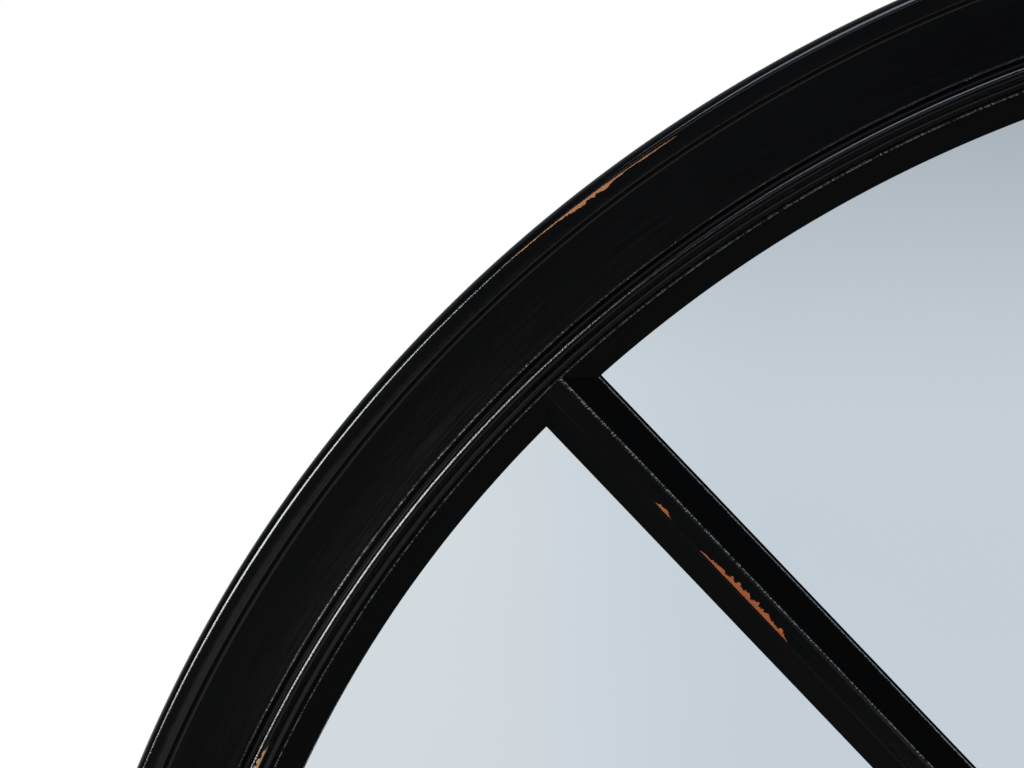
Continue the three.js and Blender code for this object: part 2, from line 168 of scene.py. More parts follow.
class MirrorFittings(bpy.types.PropertyGroup):
    """Fittings on the back."""

    shank_radius: length("Shank radius", 1.75, "Half the thickness of a screw")
    screw_length: length("Screw length", 12, "Screw below its head")
    head_radius: length("Head radius", 3.4, "Half the width of a screw's head")
    head_height: length("Head height", 2, "Top of a screw's head")
    recess_length: length("Recess length", 3.6, "Across the cross recess")
    recess_width: length("Recess width", 0.9, "Width of an arm of the recess")
    hub_radius: length("Hub radius", 6, "Round end of a turn button at its screw")
    tip_radius: length("Tip radius", 4.6, "Round end of a turn button over the board")
    button_reach: length("Button reach", 20, "Screw to the middle of the tip's round")
    button_thickness: length("Button thickness", 1.5, "Sheet of a turn button")
    strap_width: length("Strap width", 14, "Hanger strap")
    strap_thickness: length("Strap thickness", 1, "Sheet of a hanger strap")
    strap_hole_drop: length("Upper screw", 9, "Ring axis to the strap's upper screw")
    strap_hole_spacing: length("Screw spacing", 18, "Between the strap's screws")
    wire_radius: length("Wire radius", 1.3, "Wire of a hanging ring")
    ring_half: length("Ring half width", 10.3, "Middle of the ring to the middle of its wire")
    ring_rise: length("Ring rise", 7, "Ring axis to the centre of its round end")
    ring_corner: length("Ring corner", 2.6, "Bend at the ends of the ring's bar")
    pad_radius: length("Pad radius", 7, "Wall pad")
    sides: IntProperty(name="Sides", description="Facets round a fitting", default=32, min=12, max=96)


class MirrorFinish(bpy.types.PropertyGroup):
    """Colours of the finishes."""

    paint: colour("Paint", (0.0008, 0.0008, 0.0009), "Black lacquer")
    # Grey on the rubbed corners: partly paint worn down to grey, partly a painted highlight standing in for
    # the glint along those corners
    thinned_and_glint: colour("Thinned paint", (0.22, 0.22, 0.225), "Greyed paint on the rubbed corners")
    undercoat: colour("Undercoat", (0.09, 0.035, 0.018), "Thin brown edge round a rubbed place")
    bare_wood: colour("Bare wood", (0.40, 0.088, 0.010), "Stained wood where the paint is rubbed through")
    pale_wood: colour("Pale wood", (0.56, 0.30, 0.12), "The same wood, rubbed harder")
    silvering: colour("Silvering", (0.93, 0.955, 0.965), "Tint of the mirror")
    board: colour("Board", (0.20, 0.105, 0.05), "Hardboard")
    zinc: colour("Zinc", (0.62, 0.61, 0.58), "Plated fittings")
    rubber: colour("Rubber", (0.012, 0.012, 0.013), "Wall pads")
    beech: colour("Beech", (0.52, 0.33, 0.18), "Tenons")
    floor: colour("Floor", (0.80, 0.80, 0.79), "Studio floor")


class MirrorStudio(bpy.types.PropertyGroup):
    """Camera and light."""

    focal_length: number("Focal length", 87.89, "In millimetres, on a sensor 36 mm wide")
    softbox: number("Softbox", 200, "Radiance of the box on the left")
    overhead: number("Overhead card", 36, "Radiance of the card overhead")
    low_card: number("Low card", 3.2, "Radiance of the card at the lower front")
    upper_card: number("Upper card", 12, "Radiance of the card at the upper front")
    key: number("Key", 60, "Power of the soft front light, in watts")
    rear: number("Rear", 50, "Power of the light behind, in watts")
    floor_radius: length("Floor radius", 3000, "Middle of the floor to its faded rim")


SETTINGS = {
    "mirror_moulding": MirrorMoulding,
    "mirror_sash": MirrorSash,
    "mirror_fittings": MirrorFittings,
    "mirror_finish": MirrorFinish,
    "mirror_studio": MirrorStudio,
}


# ---- Sections, as points (across, depth in front of the back)
def arc(centre, radii, start, end, steps):
    """Points of an ellipse's stretch, its ends included, with the angles in degrees."""
    turns = [math.radians(start + (end - start) * i / steps) for i in range(steps + 1)]
    return [(centre[0] + radii[0] * math.cos(t), centre[1] + radii[1] * math.sin(t)) for t in turns]


def sweep(a, control, b, steps):
    """Points of a quadratic curve after its start."""
    shares = [i / steps for i in range(1, steps + 1)]
    return [
        tuple((1 - t) ** 2 * p + 2 * t * (1 - t) * q + t**2 * r for p, q, r in zip(a, control, b))
        for t in shares
    ]


def eased(before, corner, after, radius, steps=4):
    """Points that round one corner between two straight sides."""
    point, one, two = Vector(corner), Vector(before) - Vector(corner), Vector(after) - Vector(corner)
    one.normalize()
    two.normalize()
    half = one.angle(two) / 2
    reach = radius / math.tan(half)
    centre = point + (one + two).normalized() * (radius / math.sin(half))
    start, end = (point + one * reach - centre).normalized(), (point + two * reach - centre).normalized()
    return [tuple(centre + start.slerp(end, i / steps) * radius) for i in range(steps + 1)]


def stepped(points, longest):
    """The same line, with no stretch longer than this."""
    made = [points[0]]
    for a, b in zip(points, points[1:]):
        cuts = max(1, math.ceil(math.dist(a, b) / longest))
        made += [tuple(p + (q - p) * i / cuts for p, q in zip(a, b)) for i in range(1, cuts + 1)]
    return made


FRONT_STEP = 1.1 * MM  # between section points where paint and wear show
BACK_ROUND = 2 * MM  # how far the moulding's outer corner is rounded at the back
Corner = namedtuple("Corner", "place thinness")  # a rubbed corner of a section, and how worn its paint is there, which also sets the painted highlight on it


def moulding_section(s):
    """Section of the moulding, as its visible front, the rest of its outline, and its worn corners."""
    lip_top = REBATE_DEPTH + s.lip_rise
    lip_edge = (s.lip_width, lip_top - s.lip_crown)
    shoulder = lip_top - s.lip_shoulder_height
    face_start = (s.lip_width + s.quirk_width, REBATE_DEPTH + s.face_rise)
    face_end = (face_start[0] + s.face_width - s.ridge_width, face_start[1] - s.face_dish / 3)
    ridge = (face_start[0] + s.face_width, face_start[1] + s.ridge_rise)
    dish = (face_start[0] + s.face_width / 3, face_start[1] - 2 * s.face_dish)
    bead_floor = REBATE_DEPTH + s.bead_rise - s.bead_height
    bead = (ridge[0] + s.groove_width + s.bead_radius, bead_floor)
    band = REBATE_DEPTH + s.band_rise
    bead_end = (bead[0] + s.bead_radius, bead_floor)
    nose = (bead_end[0] + s.band_width, band)
    crest = (s.lip_shoulder, lip_top)

    front = [(0, BACK_ROUND), (0, shoulder)]
    front += arc((s.lip_shoulder, shoulder), (s.lip_shoulder, s.lip_shoulder_height), 175, 90, 14)
    middle = (s.lip_shoulder + s.lip_width) / 2
    crown = sweep(crest, (middle, lip_top), lip_edge, 5)
    front += crown[:-1]
    quirk = (lip_edge[0] + s.quirk_width / 4, face_start[1] - s.face_dish / 3)
    front += eased(crown[-2], lip_edge, quirk, s.easing, 3)
    front += sweep(front[-1], quirk, face_start, 6)
    front += sweep(face_start, dish, face_end, 14)
    turn = sweep(face_end, ((face_end[0] + ridge[0]) / 2, face_end[1]), ridge, 4)
    front += turn[:-1]
    groove_end = (bead[0] - s.bead_radius, bead_floor)
    cove = ((ridge[0] + groove_end[0]) / 2, groove_end[1] - s.easing / 2)
    front += eased(turn[-2], ridge, cove, s.easing / 2, 3)
    front += sweep(front[-1], cove, groove_end, 6)[:-1]
    front += arc(bead, (s.bead_radius, s.bead_height), 180, 0, 18)
    front += sweep(bead_end, (bead_end[0], band), nose, 6)[:-1]
    front += eased((bead_end[0], band), nose, (nose[0], REBATE_DEPTH), s.easing, 3)
    front += [(nose[0], REBATE_DEPTH)]
    eased_back = (0.3 * BACK_ROUND, 0.15 * BACK_ROUND)
    rest = [(REBATE_INSET, REBATE_DEPTH), (REBATE_INSET, 0), (BACK_ROUND, 0), eased_back]
    worn = [
        Corner(crest, 0.2),
        Corner(lip_edge, 0.25),
        Corner(ridge, 0.6),
        Corner((bead[0] - s.bead_radius / 2, bead_floor + s.bead_height), 0.4),
        Corner(nose, 0.2),
    ]
    return stepped(front, FRONT_STEP), rest, worn


def strip_section(s):
    """Section of the lining strip: half a glazing bar, with a tail that runs under the moulding."""
    flat_end = (SIGHT_INSET - (BAR_HALF - s.bar_flat / 2), SASH_FRONT)
    foot = (SIGHT_INSET, SASH_BACK + s.bar_foot)
    tail = (STRIP_INSET, SASH_FRONT)
    front = [tail]
    front += eased(tail, flat_end, foot, s.easing, 4)
    front += eased(flat_end, foot, (SIGHT_INSET, SASH_BACK), s.easing, 4)
    front += [(SIGHT_INSET, SASH_BACK)]
    return stepped(front, FRONT_STEP), [(STRIP_INSET, SASH_BACK)], [Corner(flat_end, 0.92), Corner(foot, 0.6)]


def bar_section(s):
    """Front of a glazing bar from one foot to the other, across its middle line."""
    flat, foot = (s.bar_flat / 2, SASH_FRONT), (BAR_HALF, SASH_BACK + s.bar_foot)
    side = [(0, SASH_FRONT)]
    side += eased((0, SASH_FRONT), flat, foot, s.easing, 4)
    side += eased(flat, foot, (BAR_HALF, SASH_BACK), s.easing, 4)
    side = stepped(side, FRONT_STEP)
    mirrored = [(-x, y) for x, y in reversed(side[1:])]
    left_flat, left_foot = (-flat[0], flat[1]), (-foot[0], foot[1])
    worn = [Corner(flat, 0.9), Corner(foot, 1.0), Corner(left_flat, 0.3), Corner(left_foot, 0.3)]
    return mirrored + side, worn


# ---- Runs: where a section is swept, and where on it a point lies
class RoundRun:
    """A stretch of the round head, between two angles in degrees."""

    def __init__(self, name, start, end, gap):
        self.name, self.start, self.end = name, start, end
        self.spare = math.degrees(gap / 2 / RADIUS)

    def locate(self, point):
        """Distance along, inset and depth of a point."""
        reach = Vector((point.x, point.z - HEAD_Z))
        turn = math.atan2(reach.y, reach.x)
        return turn * RADIUS, RADIUS - reach.length, BACK_Y - point.y

    def place(self, turn, inset, depth):
        reach = RADIUS - inset
        return reach * math.cos(turn), BACK_Y - depth, HEAD_Z + reach * math.sin(turn)

    def sweep(self, bm, outline, step):
        start, end = (math.radians(a) for a in (self.start + self.spare, self.end - self.spare))
        verts = [bm.verts.new(self.place(start, *point)) for point in outline]
        face = bm.faces.new(verts)
        bmesh.ops.spin(
            bm, geom=[*verts, *face.edges, face], cent=(0, 0, HEAD_Z), axis=(0, -1, 0), angle=end - start,
            steps=math.ceil((end - start) * RADIUS / step), use_merge=False, use_duplicate=False,
        )


class StraightRun:
    """A straight stretch from one end of the frame, with its inset to one side."""

    def __init__(self, name, origin, along, inward, start, end):
        self.name, self.origin = name, Vector(origin)
        self.along, self.inward = Vector(along), Vector(inward)
        self.start, self.end = start, end  # where it begins and ends at this inset and depth

    def locate(self, point):
        away = point - self.origin
        return away.dot(self.along), away.dot(self.inward), BACK_Y - point.y

    def place(self, distance, across, depth):
        point = self.origin + self.along * distance + self.inward * across
        point.y = BACK_Y - depth
        return point

    def stretch(self, bm, faces, step):
        """Pulls faces that lie at the start out to the end, and divides the length."""
        far = set(pulled(bm, faces))
        for vert in far:
            _, across, depth = self.locate(vert.co)
            vert.co = self.place(self.end(across, depth), across, depth)
        rails = [e for e in bm.edges if len(far.intersection(e.verts)) == 1]
        span = max(e.calc_length() for e in rails)
        bmesh.ops.subdivide_edges(bm, edges=rails, cuts=math.ceil(span / step) - 1, use_grid_fill=True)

    def sweep(self, bm, outline, step):
        verts = [bm.verts.new(self.place(self.start(x, y), x, y)) for x, y in outline]
        self.stretch(bm, [bm.faces.new(verts)], step)


UP, RIGHT = (0, 0, 1), (1, 0, 0)


def frame_runs(gap):
    """The seven runs round the frame, by the last words of their nodes' names."""
    half = gap / 2
    height = HEAD_Z - LOW.z
    mitred = lambda inset, depth: inset + half
    square = lambda inset, depth: height - half
    corner = (LOW.x, 0, LOW.z)
    return [
        RoundRun("lower_right", 0, 45, gap),
        RoundRun("upper_right", 45, 90, gap),
        RoundRun("upper_left", 90, 135, gap),
        RoundRun("lower_left", 135, 180, gap),
        StraightRun("left", corner, UP, RIGHT, mitred, square),
        StraightRun("right", (HIGH.x, 0, LOW.z), UP, (-1, 0, 0), mitred, square),
        StraightRun("bottom", corner, RIGHT, UP, mitred, lambda inset, depth: 2 * RADIUS - inset - half),
    ]


def narrowing(s, depth):
    """How much narrower a bar is at this depth than at its foot, on one side."""
    foot = SASH_BACK + s.bar_foot
    share = max(0, depth - foot) / (SASH_FRONT - foot)
    return share * (BAR_HALF - s.bar_flat / 2)


def bar_runs(s):
    """The seven glazing bars, each scribed over the strips and bars that it meets."""
    sight = lambda depth: SIGHT_INSET - narrowing(s, depth) + s.fit
    width_at = lambda depth: BAR_HALF - narrowing(s, depth) + s.fit
    head = lambda across, depth: math.sqrt((RADIUS - sight(depth)) ** 2 - across**2)
    stile = lambda across, depth: RADIUS - sight(depth)
    upright = lambda across, depth: width_at(depth)
    crossing = lambda across, depth: math.sqrt(2) * width_at(depth) + abs(across)
    bottom = lambda across, depth: sight(depth)
    crown = lambda across, depth: HEAD_Z - LOW.z + head(across, depth)
    centre, middle = (0, 0, HEAD_Z), (0, 0, MID_BAR_Z)
    sides = (("left", -1), ("right", 1))
    d = math.sqrt(0.5)
    return [
        StraightRun("upright_bar", (0, 0, LOW.z), UP, RIGHT, bottom, crown),
        *(StraightRun(f"spring_bar_{name}", centre, (x, 0, 0), UP, upright, head) for name, x in sides),
        *(StraightRun(f"mid_bar_{name}", middle, (x, 0, 0), UP, upright, stile) for name, x in sides),
        *(
            StraightRun(f"radial_bar_{name}", centre, (x * d, 0, d), (-x * d, 0, d), crossing, head)
            for name, x in sides
        ),
    ]


# ---- Wear
# Where the paint is rubbed through on a run: between two distances along, from a straight side that lies at
# one place across at the start and at another at the end, up to a ragged side at most this width away.
Rubbed = namedtuple("Rubbed", "run start end across_start across_end width harder")


def round_the_head(degrees):
    return math.radians(degrees) * RADIUS


def rubbed_places():
    """The rubbed places that the picture shows, by run."""
    lip_from, lip_to = 124.7, 133.2  # in degrees, with the wider stretch between the next two
    wide_from, wide_to = 127.6, 130.4
    lip_start, lip_end = 3.6 * MM, 2.5 * MM
    head = round_the_head
    inset = lambda angle: lip_start + (lip_end - lip_start) * (angle - lip_from) / (lip_to - lip_from)
    return [
        Rubbed("upper_left", head(lip_from), head(lip_to), lip_start, lip_end, 0.5 * MM, 0.4),
        Rubbed("upper_left", head(wide_from), head(wide_to), inset(wide_from), inset(wide_to), 1.3 * MM, 0.4),
        Rubbed("lower_left", head(154.7), head(161), 35.3 * MM, 35.3 * MM, -1.5 * MM, 1),
        Rubbed("radial_bar_left", 363.6 * MM, 369.8 * MM, -2.3 * MM, -2.3 * MM, 1.5 * MM, 0),
        Rubbed("radial_bar_left", 311.2 * MM, 349.5 * MM, -2.5 * MM, -2.5 * MM, 1.2 * MM, 0),
        Rubbed("radial_bar_left", 311.2 * MM, 342.0 * MM, -2.5 * MM, -2.5 * MM, 2.2 * MM, 0),
    ]


def worn_by_chance(name, worn, span, rng):
    """A few more rubbed places on the corners of a run that the picture doesn't reach."""
    places = []
    for _ in range(rng.choice((1, 2, 2, 3))):
        across, _ = rng.choice(worn).place
        middle = rng.uniform(*span)
        half = rng.uniform(6, 26) * MM
        width = rng.uniform(0.6, 1.3) * rng.choice((-1, 1)) * MM
        places.append(Rubbed(name, middle - half, middle + half, across, across, width, 0))
    return places


SIDE_LIMIT = 3 * MM  # how far from the straight side the distance is kept


def rub_at(places, along, across):
    """Distance from the nearest rubbed place's straight side, how far it is rubbed there, and how hard."""
    if not places:
        return -1.0, 0.0, 0.0
    nearest = min(places, key=lambda p: abs(along - (p.start + p.end) / 2) / (p.end - p.start))
    share = (along - nearest.start) / (nearest.end - nearest.start)
    edge = nearest.across_start + (nearest.across_end - nearest.across_start) * share
    side = (across - edge) * math.copysign(1, nearest.width)
    reach = 0.0
    for p in places:
        if p.start < along < p.end and p.width * nearest.width > 0:
            middle, half = (p.start + p.end) / 2, (p.end - p.start) / 2
            reach = max(reach, abs(p.width) * (1 - ((along - middle) / half) ** 6))
    return max(-1.0, min(1.0, side / SIDE_LIMIT)), reach / SIDE_LIMIT, nearest.harder


ARRIS_REACH = 0.9 * MM  # how far from a corner the paint is thinner and the painted highlight reaches
RUBBED_DEPTH = 2 * MM  # how far below the sash's front the paint may be rubbed through
PATTERN = "run"
WEAR = ("side", "reach", "harder", "arris")


def mark_wear(bm, run, worn, places):
    """Lays out the run's pattern, along by across, and stores how each point is worn."""
    uv = bm.loops.layers.uv.new(PATTERN)
    side, reach, harder, arris = (bm.verts.layers.float.new(name) for name in WEAR)
    where = {}
    for vert in bm.verts:
        along, across, depth = run.locate(vert.co)
        where[vert] = (along, across + depth)
        # Closeness to a worn corner: it greys the paint by wear and by a painted highlight
        vert[arris] = max(
            c.thinness * max(0.0, 1 - math.dist((across, depth), c.place) / ARRIS_REACH) for c in worn
        )
        vert[side], vert[reach], vert[harder] = rub_at(places, along, across)
        if depth < SASH_FRONT - RUBBED_DEPTH:
            vert[reach] = 0
    for face in bm.faces:
        for loop in face.loops:
            loop[uv].uv = where[loop.vert]


def soften(bm, run, amount):
    """Rubs the arrises a little unevenly, as hand work leaves them."""
    arris = bm.verts.layers.float["arris"]
    bmesh.ops.recalc_face_normals(bm, faces=bm.faces)
    bm.normal_update()
    for vert in bm.verts:
        if vert[arris] > 0:
            along, across, depth = run.locate(vert.co)
            wave = noise.noise(Vector((along * 55, across * 200, depth * 200)))
            vert.co -= vert.normal * amount * vert[arris] * (0.5 + 0.5 * wave)


# ---- Pieces
CREASE = math.radians(28)


def verts_in(geom):
    return [g for g in geom if isinstance(g, bmesh.types.BMVert)]


def faces_in(geom):
    return [g for g in geom if isinstance(g, bmesh.types.BMFace)]


def pulled(bm, faces):
    """Extrudes faces where they lie, and gives the new verts."""
    return verts_in(bmesh.ops.extrude_face_region(bm, geom=faces)["geom"])


def bevel(bm, edges, width):
    bmesh.ops.bevel(
        bm, geom=edges, offset=width, segments=2, profile=0.5, affect="EDGES", material=-1, clamp_overlap=True
    )


def make_piece(bm, name, material, node, crease=CREASE):
    """Turns a finished bmesh into a piece that stands for its CAD node and rides on that node's body."""
    bmesh.ops.recalc_face_normals(bm, faces=bm.faces)
    for edge in bm.edges:
        edge.smooth = len(edge.link_faces) == 2 and edge.calc_face_angle() < crease
    for face in bm.faces:
        face.smooth = True
    mesh = bpy.data.meshes.new(name)
    bm.to_mesh(mesh)
    bm.free()
    mesh.materials.append(material)
    piece = bpy.data.objects.new(name, mesh)
    bpy.context.scene.collection.objects.link(piece)
    body = frame["nodes"][node]["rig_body"]
    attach(piece, body)
    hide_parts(node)
    return piece


def moulding_node(name):
    return {"left": "stile_left", "right": "stile_right", "bottom": "bottom_rail"}.get(
        name, f"arch_segment_{name}"
    )


OUT_OF_PICTURE = {"upper_left": (92, 110), "lower_left": (162, 176)}  # degrees round the head
MARGIN_DEGREES = 4
MARGIN = 60 * MM
RUN_GAP = 0.1 * MM  # between the lengths of moulding, and between the strips


def chance_span(run):
    """Where chance wear may lie along a run of the frame: away from its ends, and out of the picture."""
    if isinstance(run, RoundRun):
        inner = (run.start + MARGIN_DEGREES, run.end - MARGIN_DEGREES)
        return [round_the_head(a) for a in OUT_OF_PICTURE.get(run.name, inner)]
    return MARGIN, run.end(0, 0) - MARGIN


def seen_on(run):
    return [p for p in rubbed_places() if p.run == run.name]


def paint_run(scene, run, bm, worn, places, rubbing, name, node):
    """Finishes a swept run: its wear, its rubbed corners and its paint."""
    mark_wear(bm, run, worn, places)
    soften(bm, run, rubbing)
    lacquered().objects.link(make_piece(bm, name, black_paint(scene.mirror_finish), node))


def build_moulding(scene):
    s = scene.mirror_moulding
    front, rest, worn = moulding_section(s)
    rng = random.Random(11)
    for run in frame_runs(RUN_GAP):
        bm = bmesh.new()
        run.sweep(bm, front + rest, s.step)
        places = seen_on(run) + worn_by_chance(run.name, worn, chance_span(run), rng)
        node = moulding_node(run.name)
        paint_run(scene, run, bm, worn, places, 0.10 * MM, f"{node}_moulded", node)


def build_lining(scene):
    front, rest, worn = strip_section(scene.mirror_sash)
    for run in frame_runs(RUN_GAP):
        bm = bmesh.new()
        run.sweep(bm, front + rest, scene.mirror_moulding.step)
        node = f"lining_strip_{run.name}"
        paint_run(scene, run, bm, worn, [], 0.06 * MM, f"{node}_shaped", node)


def build_bars(scene):
    s = scene.mirror_sash
    front, worn = bar_section(s)
    rng = random.Random(23)
    for run in bar_runs(s):
        bm = bmesh.new()
        line = lambda points: [bm.verts.new(run.place(run.start(x, y), x, y)) for x, y in points]
        crest, base = line(front), line([(x, SASH_BACK) for x, _ in front])
        edges = [bm.edges.new(pair) for row in (crest, base) for pair in zip(row, row[1:])]
        bmesh.ops.bridge_loops(bm, edges=edges)
        run.stretch(bm, bm.faces[:], scene.mirror_moulding.step)
        span = (MARGIN, run.end(0, SASH_FRONT) - MARGIN)
        places = seen_on(run) or worn_by_chance(run.name, worn, span, rng)
        paint_run(scene, run, bm, worn, places, 0.08 * MM, f"{run.name}_shaped", run.name)


HEAD_STEPS = 120
PLATE_CREASE = math.radians(12)  # the flat of a plate stays flat up to its eased edge


def arched_plate(low, high, front_y, edge):
    """A round-headed plate with eased edges, from the back of its box to this front."""
    radius = (high.x - low.x) / 2
    bm = bmesh.new()
    outline = [(-radius, low.z), (radius, low.z)] + arc((0, HEAD_Z), (radius, radius), 0, 180, HEAD_STEPS)
    face = bm.faces.new([bm.verts.new((x, high.y, z)) for x, z in outline])
    bmesh.ops.translate(bm, verts=pulled(bm, [face]), vec=(0, front_y - high.y, 0))
    lies_flat = lambda e: abs(e.verts[0].co.y - e.verts[1].co.y) < edge
    bevel(bm, [e for e in bm.edges if e.calc_face_angle(0) > CREASE and lies_flat(e)], edge)
    return bm


def build_plate(scene):
    s = scene.mirror_sash
    front = GLASS_LOW.y + s.optical_depth
    bm = arched_plate(GLASS_LOW, GLASS_HIGH, front, s.plate_edge)
    material = silvering(scene.mirror_finish)
    make_piece(bm, "mirror_silvered", material, "mirror_glass", PLATE_CREASE)


def build_board(scene):
    bm = arched_plate(BOARD_LOW, BOARD_HIGH, BOARD_LOW.y, scene.mirror_sash.board_edge)
    material = hardboard(scene.mirror_finish)
    make_piece(bm, "backing_board_pressed", material, "backing_board", PLATE_CREASE)


def nodes_with(word):
    return [name for name in frame["nodes"] if word in name]


def dress_tenons(scene):
    for name in nodes_with("tenon"):
        node = frame["nodes"][name]
        node.data.materials.clear()
        node.data.materials.append(beech(scene.mirror_finish))


# Fittings are made about their own axis, +X their long way and +Y towards the wall, and then placed.
def settle(bm, x, z, turn=0.0, y=BACK_Y):
    """Turns a fitting about its axis and moves it to its place on the back."""
    matrix = Matrix.Translation((x, y, z)) @ Matrix.Rotation(turn, 4, "Y")
    bmesh.ops.transform(bm, matrix=matrix, verts=bm.verts)


def ring_of(bm, radius, sides, y):
    """A closed circle of edges about the Y axis."""
    matrix = Matrix.Translation((0, y, 0)) @ Matrix.Rotation(math.radians(90), 4, "X")
    made = bmesh.ops.create_circle(bm, cap_ends=False, segments=sides, radius=radius, matrix=matrix)
    return list({e for v in made["verts"] for e in v.link_edges})


def closed(bm, verts):
    """Edges from each vert to the next, and back to the first."""
    return [bm.edges.new(pair) for pair in zip(verts, verts[1:] + verts[:1])]


def turned(bm, profile, sides):
    """Spins a profile of (radius, y) about the Y axis."""
    verts = [bm.verts.new((r, y, 0)) for r, y in profile]
    edges = [bm.edges.new(pair) for pair in zip(verts, verts[1:])]
    bmesh.ops.spin(
        bm, geom=verts + edges, cent=(0, 0, 0), axis=(0, 1, 0), angle=math.tau, steps=sides, use_merge=True
    )
    bmesh.ops.remove_doubles(bm, verts=bm.verts, dist=1e-6)


SCREW_POINT = 3 * MM
THREAD_PITCH = 1.3 * MM
THREAD_DEPTH = 0.35 * MM
RECESS_DEPTH = 1 * MM
RECESS_TAPER = 0.6
RECESS_RIM = 2.25 * MM  # radius round the recess where the turned part of the head ends
RECESS_DROP = 0.06 * MM  # from the top of the head to the recess's edge
HEAD_EDGE = 0.8 * MM  # height of the upright edge of a screw's head


def screw(s):
    """A pan-headed wood screw with a cross recess; its head sits on y = 0."""
    crown = s.head_height - HEAD_EDGE
    profile = [(0, -s.screw_length), (s.shank_radius - THREAD_DEPTH, SCREW_POINT - s.screw_length)]
    y = profile[-1][1]
    while y < -2 * THREAD_PITCH:
        profile += [(s.shank_radius, y + THREAD_PITCH / 2), (s.shank_radius - THREAD_DEPTH, y + THREAD_PITCH)]
        y += THREAD_PITCH
    profile += [(s.shank_radius, y + THREAD_PITCH / 2), (s.shank_radius, 0), (s.head_radius, 0)]
    dome = arc((0, HEAD_EDGE), (s.head_radius, crown), 0, 90, 12)
    profile += [p for p in dome if p[0] > RECESS_RIM]
    profile.append((RECESS_RIM, HEAD_EDGE + crown * math.sqrt(1 - (RECESS_RIM / s.head_radius) ** 2)))
    bm = bmesh.new()
    turned(bm, profile, s.sides)
    rim = [e for e in bm.edges if e.is_boundary]
    w, l = s.recess_width / 2, s.recess_length / 2
    quarter = [(l, -w), (l, w), (w, w)]
    points = [(Matrix.Rotation(math.tau * k / 4, 2) @ Vector(p)) for k in range(4) for p in quarter]
    verts = [bm.verts.new((p.x, s.head_height - RECESS_DROP, p.y)) for p in points]
    cross = closed(bm, verts)
    bmesh.ops.bridge_loops(bm, edges=rim + cross)
    made = bmesh.ops.extrude_edge_only(bm, edges=cross)["geom"]
    low = verts_in(made)
    bmesh.ops.translate(bm, verts=low, vec=(0, -RECESS_DEPTH, 0))
    bmesh.ops.scale(bm, verts=low, vec=(RECESS_TAPER, 1, RECESS_TAPER))
    bmesh.ops.contextual_create(bm, geom=[g for g in made if isinstance(g, bmesh.types.BMEdge)])
    return bm


def sheet_metal(s, outline, holes, thickness):
    """A flat outline with round holes for screws, given its thickness towards +Y."""
    bm = bmesh.new()
    edges = closed(bm, [bm.verts.new((x, GAP, z)) for x, z in outline])
    for x, z in holes:
        hole = ring_of(bm, s.shank_radius + GAP, s.sides, GAP)
        rim = list({v for e in hole for v in e.verts})
        bmesh.ops.translate(bm, verts=rim, vec=(x, 0, z))
        edges += hole
    bmesh.ops.triangle_fill(bm, use_beauty=True, use_dissolve=False, edges=edges, normal=(0, 1, 0))
    bmesh.ops.translate(bm, verts=pulled(bm, bm.faces[:]), vec=(0, thickness, 0))
    bmesh.ops.recalc_face_normals(bm, faces=bm.faces)
    return bm


SHEET_EDGE = 0.22 * MM
SHARP = math.radians(60)


def ease_edges(bm, width):
    bevel(bm, [e for e in bm.edges if len(e.link_faces) == 2 and e.calc_face_angle() > SHARP], width)


def turn_button(s):
    """A stamped turn button about its pivot, with its tip along +X."""
    lean = math.degrees(math.asin((s.hub_radius - s.tip_radius) / s.button_reach))
    side = 90 - lean
    outline = arc((0, 0), (s.hub_radius, s.hub_radius), side, 360 - side, s.sides * 2 // 3)
    outline += arc((s.button_reach, 0), (s.tip_radius, s.tip_radius), -side, side, s.sides * 2 // 3)
    bm = sheet_metal(s, outline, [(0, 0)], s.button_thickness)
    ease_edges(bm, SHEET_EDGE)
    return bm


KNUCKLE_TURN = math.radians(292)


def strap(s):
    """A hanger strap: two screw holes, a round foot, and its upper end rolled round the ring's bar."""
    half, foot = s.strap_width / 2, -s.strap_hole_drop - s.strap_hole_spacing
    outline = [(half, 0), (-half, 0)] + arc((0, foot), (half, half), 180, 360, s.sides * 2 // 3)
    bm = sheet_metal(s, outline, [(0, -s.strap_hole_drop), (0, foot)], s.strap_thickness)
    top = [f for f in bm.faces if all(abs(v.co.z) < 1e-7 for v in f.verts)]
    axis = RING_AXES["ring_left"].y - BACK_Y
    geom = top + list({v for f in top for v in f.verts}) + list({e for f in top for e in f.edges})
    bmesh.ops.spin(
        bm, geom=geom, cent=(0, axis, 0), axis=(-1, 0, 0), angle=KNUCKLE_TURN, steps=28, use_duplicate=False
    )
    ease_edges(bm, SHEET_EDGE / 2)
    return bm


class BentWire:
    """A round wire that is pushed forward and bent, in the upright XZ plane."""

    def __init__(self, radius, sides, start):
        self.bm = bmesh.new()
        self.at, self.heading = Vector((start, 0, 0)), 0.0
        matrix = Matrix.Translation(self.at) @ Matrix.Rotation(math.radians(90), 4, "Y")
        made = bmesh.ops.create_circle(self.bm, cap_ends=True, segments=sides, radius=radius, matrix=matrix)
        self.end = list({f for v in made["verts"] for f in v.link_faces})

    def _geom(self):
        verts = {v for f in self.end for v in f.verts}
        edges = {e for f in self.end for e in f.edges}
        return [*verts, *edges, *self.end]

    def push(self, distance):
        made = bmesh.ops.extrude_face_region(self.bm, geom=self._geom())["geom"]
        self.end = faces_in(made)
        step = Vector((math.cos(self.heading), 0, math.sin(self.heading))) * distance
        bmesh.ops.translate(self.bm, verts=verts_in(made), vec=step)
        self.at += step

    def bend(self, radius, degrees, steps):
        """A left-hand bend."""
        side = Vector((-math.sin(self.heading), 0, math.cos(self.heading)))
        centre = self.at + side * radius
        angle = math.radians(degrees)
        made = bmesh.ops.spin(
            self.bm, geom=self._geom(), cent=centre, axis=(0, -1, 0), angle=angle, steps=steps,
            use_duplicate=False,
        )
        self.end = faces_in(made["geom_last"])
        self.at = centre + Matrix.Rotation(angle, 3, (0, -1, 0)) @ (self.at - centre)
        self.heading += angle


